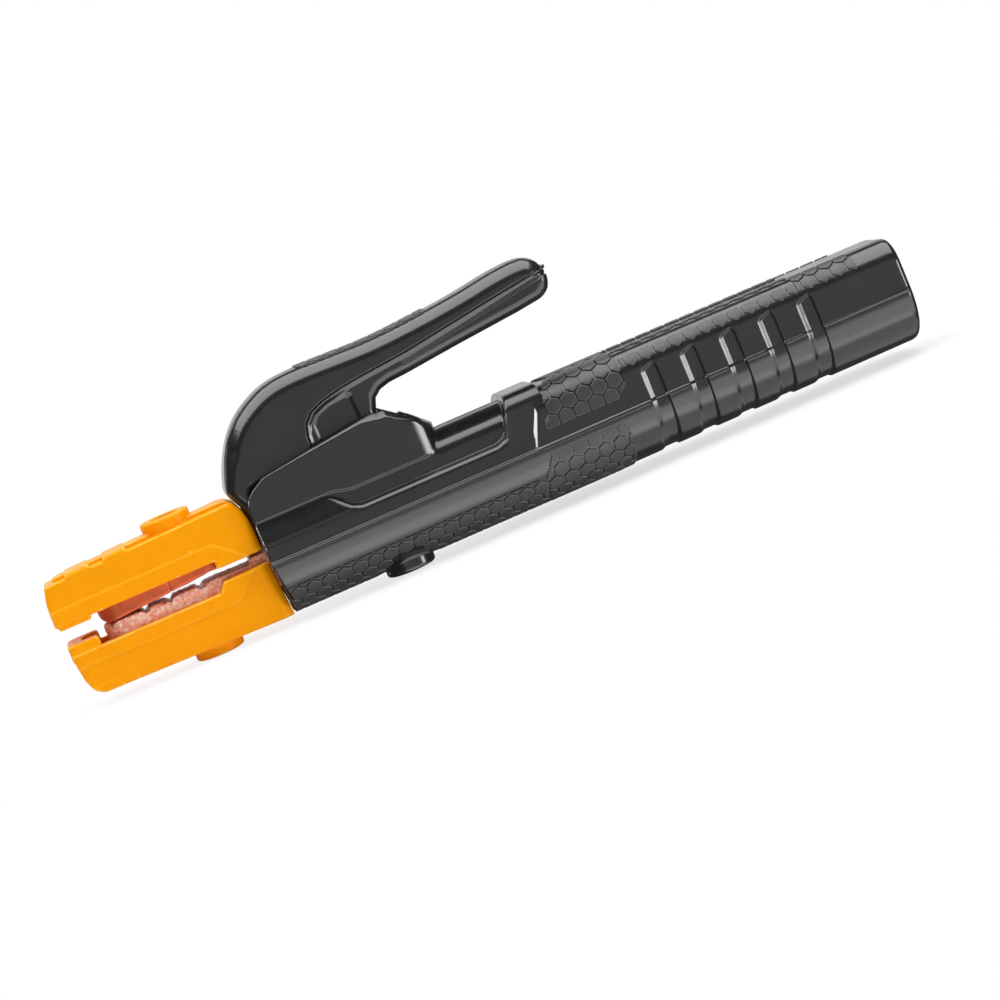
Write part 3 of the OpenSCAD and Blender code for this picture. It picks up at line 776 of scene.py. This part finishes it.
# name, field, box, cell size, material, body, CAD node it stands for, slot
MOULDED = (
    ("grip_moulding", grip, (-209.6, -18.6, -20), (0.2, 18.6, 30), 0.42, BLACK, "holder",
     "grip", "black_nylon"),
    ("casting_body", casting, (-262, -8.6, -13.4), (-123.8, 8.6, 23), 0.33, COPPER_CAST, "holder",
     "lower_jaw_casting", "copper_alloy"),
    ("lower_insulator", lower_insulator, (-275, -11.4, -19.8), (-209, 11.4, 1), 0.30, YELLOW, "holder",
     "lower_jaw_insulator", "yellow_insulator"),
    ("upper_insulator", upper_insulator, (-275, -11.4, 4), (-209.6, 11.4, 25), 0.30, YELLOW, "lever",
     "upper_jaw_insulator", "yellow_insulator"),
    ("upper_contact_bar", upper_contact, (-262, -7.2, 1.8), (-224, 7.2, 8.8), 0.28, COPPER, "lever",
     "upper_contact", "contact_copper"),
    ("lever_shell", lever_cover, (-213.4, -10.8, 13.6), (-98, 10.8, 54.4), 0.32, BLACK, "lever",
     "lever_cover", "black_nylon"),
    ("lever_base", lever_underside, (-186, -10.8, 19), (-98, 10.8, 50), 0.30, BLACK, "lever",
     "lever_underside", "black_nylon"),
)
moulded = {}
for name, field, low, high, cell, mat, body, node, slot in MOULDED:
    moulded[name] = add_mesh(name, *surface(field, low, high, cell * COARSER), mat, body, (node,), slot)

# small fin where the lever's two halves meet at its free end
FIN, FIN_HALF = [(-101, 47.4), (-99.1, 48.2), (-98.9, 49.1), (-101, 48.8)], 3.4
add_mesh("lever_fin", [(x, y, z) for x, z in FIN for y in (-FIN_HALF, FIN_HALF)],
         [(1, 3, 2, 0), (3, 5, 4, 2), (5, 7, 6, 4), (7, 1, 0, 6), (2, 4, 6, 0), (7, 5, 3, 1)],
         BLACK, "lever", slot="black_nylon", smooth=False)


def coil(x, z0, z1, r, wire, turns, sides=10, steps=24):
    """Round wire wound up the z axis: points, and loops that face outwards."""
    n = turns * steps
    v = []
    for i in range(n + 1):
        a, z = math.tau * i / steps, z0 + wire + (z1 - z0 - 2 * wire) * i / n
        for k in range(sides):
            b = math.tau * k / sides
            q = r + wire * math.cos(b)
            v.append((x + q * math.cos(a), q * math.sin(a), z + wire * math.sin(b)))
    loops = [tuple(range(sides)), tuple(n * sides + k for k in range(sides - 1, -1, -1))]
    for i, k in itertools.product(range(n), range(sides)):
        k2 = (k + 1) % sides
        loops.append((i * sides + k, (i + 1) * sides + k, (i + 1) * sides + k2, i * sides + k2))
    return v, loops


# the real spring shortens as the lever comes down; this coil is attached to neither the holder nor the lever
# and keeps its shape
wire = coil(SPRING[0], z0=6, z1=27.5, r=6, wire=1, turns=6)
spring_coil = add_mesh("spring_coil", *wire, STEEL, None, ("spring",), "spring_steel")
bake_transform(spring_coil)


def rectangle(u0, u1, v0, v1):
    return [(u0, v0), (u1, v0), (u1, v1), (u0, v1)]


# windows for the tiles in x and arc length from the parting line
rear_map, front_map = around_grip(-100), around_grip(-160)
TOP = 29.6
BEHIND_COLLAR = [(-120.4, 4.4), (-95.5, 4.4), (-91.6, 8.0), (-91.6, TOP), (-111.0, TOP), (-114.2, 20)]
TOP_WINDOWS = [BEHIND_COLLAR, rectangle(-91.0, -33.4, 11.9, 16.0), rectangle(-32.8, -13.4, 11.9, 19.8),
               rectangle(-91.0, -33.4, 20.6, 24.6)]
LOW_WINDOW = rectangle(-207.6, -124.6, -26.6, -9.6)
SIDE_WINDOW = [(-124.4, -26.2), (-97.2, -26.2), (-95.8, -18), (-95.8, -4.6), (-97.4, -2.9), (-120.6, -2.9),
               (-124.4, -9.6)]
LOW_ORIGIN = (-205.0, -12.6)
ROUND_THE_BOSS = (-170.5, -26.7, 10.4)
for side, far in (("near", False), ("far", True)):
    rear, front = (mirrored(rear_map), mirrored(front_map)) if far else (rear_map, front_map)
    tiles("tiles_top_" + side, TOP_WINDOWS, (-92.3, 14.4), rear, "holder", turned=far)
    tiles("tiles_low_" + side, [LOW_WINDOW], LOW_ORIGIN, front, "holder", holes=[ROUND_THE_BOSS], turned=far)
    tiles("tiles_side_" + side, [SIDE_WINDOW], LOW_ORIGIN, rear, "holder", turned=far)
tiles("tiles_lever", [rectangle(-179.8, -137.6, -7.2, 7.2)], (-180.0, 0), on_lever, "lever", height=0.4)

CAD_LOOK = {"grip_screw": STEEL, "lower_jaw_screw": STEEL, "upper_jaw_screw": STEEL, "lever_screws": STEEL,
            "cable_socket": BRASS, "socket_pin": STEEL, "front_clamp_screw": DARK, "rear_clamp_screw": DARK,
            "pivot_pin": STEEL, "pivot_clips": DARK, "pivot_washers": BRASS,
            "lower_spring_seat": FIBRE, "upper_spring_seat": FIBRE, "lever_arm": ARM, "pivot_bush": BRASS,
            "contact_rivets": COPPER}
for name, mat in CAD_LOOK.items():
    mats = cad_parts[name].data.materials
    if not len(mats):
        mats.append(mat)
    for i in range(len(mats)):
        mats[i] = mat

# ---------------------------------------------------------------- floor

FLOOR_RADIUS, FLOOR_SIDES = 9, 96
MIDDLE_X = -0.14
floor_z = CAD_BOX[0][2] - 0.0002
turns = [2 * math.pi * i / FLOOR_SIDES for i in range(FLOOR_SIDES)]
ring = [(MIDDLE_X + FLOOR_RADIUS * math.cos(a), FLOOR_RADIUS * math.sin(a), floor_z) for a in turns]
floor_mesh = bpy.data.meshes.new("floor")
floor_mesh.from_pydata(ring, [], [tuple(range(FLOOR_SIDES))])
floor = place("floor", floor_mesh)
paper = bpy.data.materials.new("pale_floor")
paper.use_nodes = True
nt = paper.node_tree
link = nt.links.new


def add_node(kind, **settings):
    node = nt.nodes.new("ShaderNode" + kind)
    for key, value in settings.items():
        setattr(node, key, value)
    return node


def mixed(factor, first, second):
    node = add_node("MixShader")
    link(factor, node.inputs["Fac"])
    link(first, node.inputs[1])
    link(second, node.inputs[2])
    return node.outputs["Shader"]


def either(first, second):
    node = add_node("Math", operation="MAXIMUM")
    link(first, node.inputs[0])
    link(second, node.inputs[1])
    return node.outputs[0]


shadowed = nt.nodes["Principled BSDF"]
for key, value in (("Base Color", (0.93, 0.93, 0.93, 1)), ("Roughness", 0.9), ("Specular IOR Level", 0.1)):
    shadowed.inputs[key].default_value = value
position, path = add_node("NewGeometry"), add_node("LightPath").outputs
away = add_node("VectorMath", operation="LENGTH")
link(position.outputs["Position"], away.inputs[0])
white, bounce, clear = add_node("Emission"), add_node("BsdfDiffuse"), add_node("BsdfTransparent")
white.inputs["Strength"].default_value = 1.0
bounce.inputs["Color"].default_value = (0.8, 0.8, 0.8, 1)
# what the camera sees: white paper with a soft shadow, fading to plain white
fade = ranged(nt, away.outputs["Value"], (0.12, 0.32, 0.66, 1.0))
seen = mixed(fade, shadowed.outputs["BSDF"], white.outputs["Emission"])
# the object gets its bounce light from it, but it hides none of the lights around
lit = mixed(path["Is Camera Ray"], bounce.outputs["BSDF"], seen)
open_to = either(either(path["Is Glossy Ray"], path["Is Shadow Ray"]), position.outputs["Backfacing"])
link(mixed(open_to, lit, clear.outputs["BSDF"]), nt.nodes["Material Output"].inputs["Surface"])
floor_mesh.materials.append(paper)

# ---------------------------------------------------------------- camera


def turned_to(x_axis, y_axis, z_axis, location):
    m = Matrix((x_axis, y_axis, z_axis)).transposed().to_4x4()
    m.translation = location
    return m


AZIMUTH, ELEVATION, ROLL = math.radians(-6.5), math.radians(6.8), math.radians(-22.74)
CAMERA_DISTANCE = 0.9
camera_data = bpy.data.cameras.new("camera")
camera_data.sensor_width = 36
camera_data.lens = 107.6
camera_data.clip_start, camera_data.clip_end = 0.01, 50
camera = place("camera", camera_data)
back = Vector((math.sin(AZIMUTH) * math.cos(ELEVATION), -math.cos(AZIMUTH) * math.cos(ELEVATION),
               math.sin(ELEVATION)))
level = Vector((math.cos(AZIMUTH), math.sin(AZIMUTH), 0))
upright = back.cross(level)
right = level * math.cos(ROLL) + upright * math.sin(ROLL)
up = upright * math.cos(ROLL) - level * math.sin(ROLL)
target = Vector((-0.1381, 0, -0.0112))
camera.matrix_world = turned_to(right, up, back, target + back * CAMERA_DISTANCE)
bpy.context.scene.camera = camera
bpy.context.scene.view_settings.view_transform = "Standard"

# ---------------------------------------------------------------- light

world = bpy.data.worlds.new("world")
bpy.context.scene.world = world
world.use_nodes = True
nt = world.node_tree
link = nt.links.new
# dim for the object, plain white for the camera
dim, plain = nt.nodes["Background"], add_node("Background")
for background, strength in ((dim, 0.07), (plain, 1.0)):
    background.inputs["Color"].default_value = (1, 1, 1, 1)
    background.inputs["Strength"].default_value = strength
camera_ray = add_node("LightPath").outputs["Is Camera Ray"]
link(mixed(camera_ray, dim.outputs["Background"], plain.outputs["Background"]),
     nt.nodes["World Output"].inputs["Surface"])

MIDDLE = Vector((MIDDLE_X, 0, 0.01))


def softbox(name, towards, distance, w, h, radiance):
    """A rectangular light, seen from the middle of the object in one direction; h is its upright side."""
    lamp = bpy.data.lights.new(name, "AREA")
    lamp.shape = "RECTANGLE"
    lamp.size, lamp.size_y, lamp.energy = w, h, radiance * math.pi * w * h
    o = place(name, lamp)
    t = Vector(towards).normalized()
    side = Vector((-t.y, t.x, 0)).normalized()
    o.matrix_world = turned_to(side, t.cross(side), t, MIDDLE + t * distance)
    o.visible_camera = False
    return o


# name, direction, distance, width, height, radiance
LIGHTS = (
    ("top_box", (0.0, -0.10, 1.0), 0.85, 1.9, 1.08, 2.9),
    ("low_box", (0.22, -0.77, -0.64), 0.85, 1.8, 0.62, 1.4),
    ("under_box", (0.30, -0.20, -0.95), 0.85, 1.5, 0.60, 0.65),
    ("front_box", (0.05, -0.99, 0.06), 1.2, 1.8, 0.86, 0.30),
    ("right_box", (0.84, -0.54, -0.09), 1.1, 0.26, 0.40, 7.5),
    ("left_box", (-0.84, -0.43, 0.36), 1.1, 0.42, 0.20, 13),
    ("rim_box", (-0.75, 0.65, 0.10), 1.1, 0.42, 0.60, 0.8),
    ("rear_box", (0.0, 0.85, 0.50), 0.9, 1.2, 0.25, 1.2),
    ("back_box", (0.0, 1.0, 0.05), 0.9, 1.2, 0.30, 0.8),
)
lights = {row[0]: softbox(*row) for row in LIGHTS}
# the small left light is only for the slanted step in front of the grip's flat sides
grip_only = bpy.data.collections.new("grip_only")
grip_only.objects.link(moulded["grip_moulding"])
lights["left_box"].light_linking.receiver_collection = grip_only
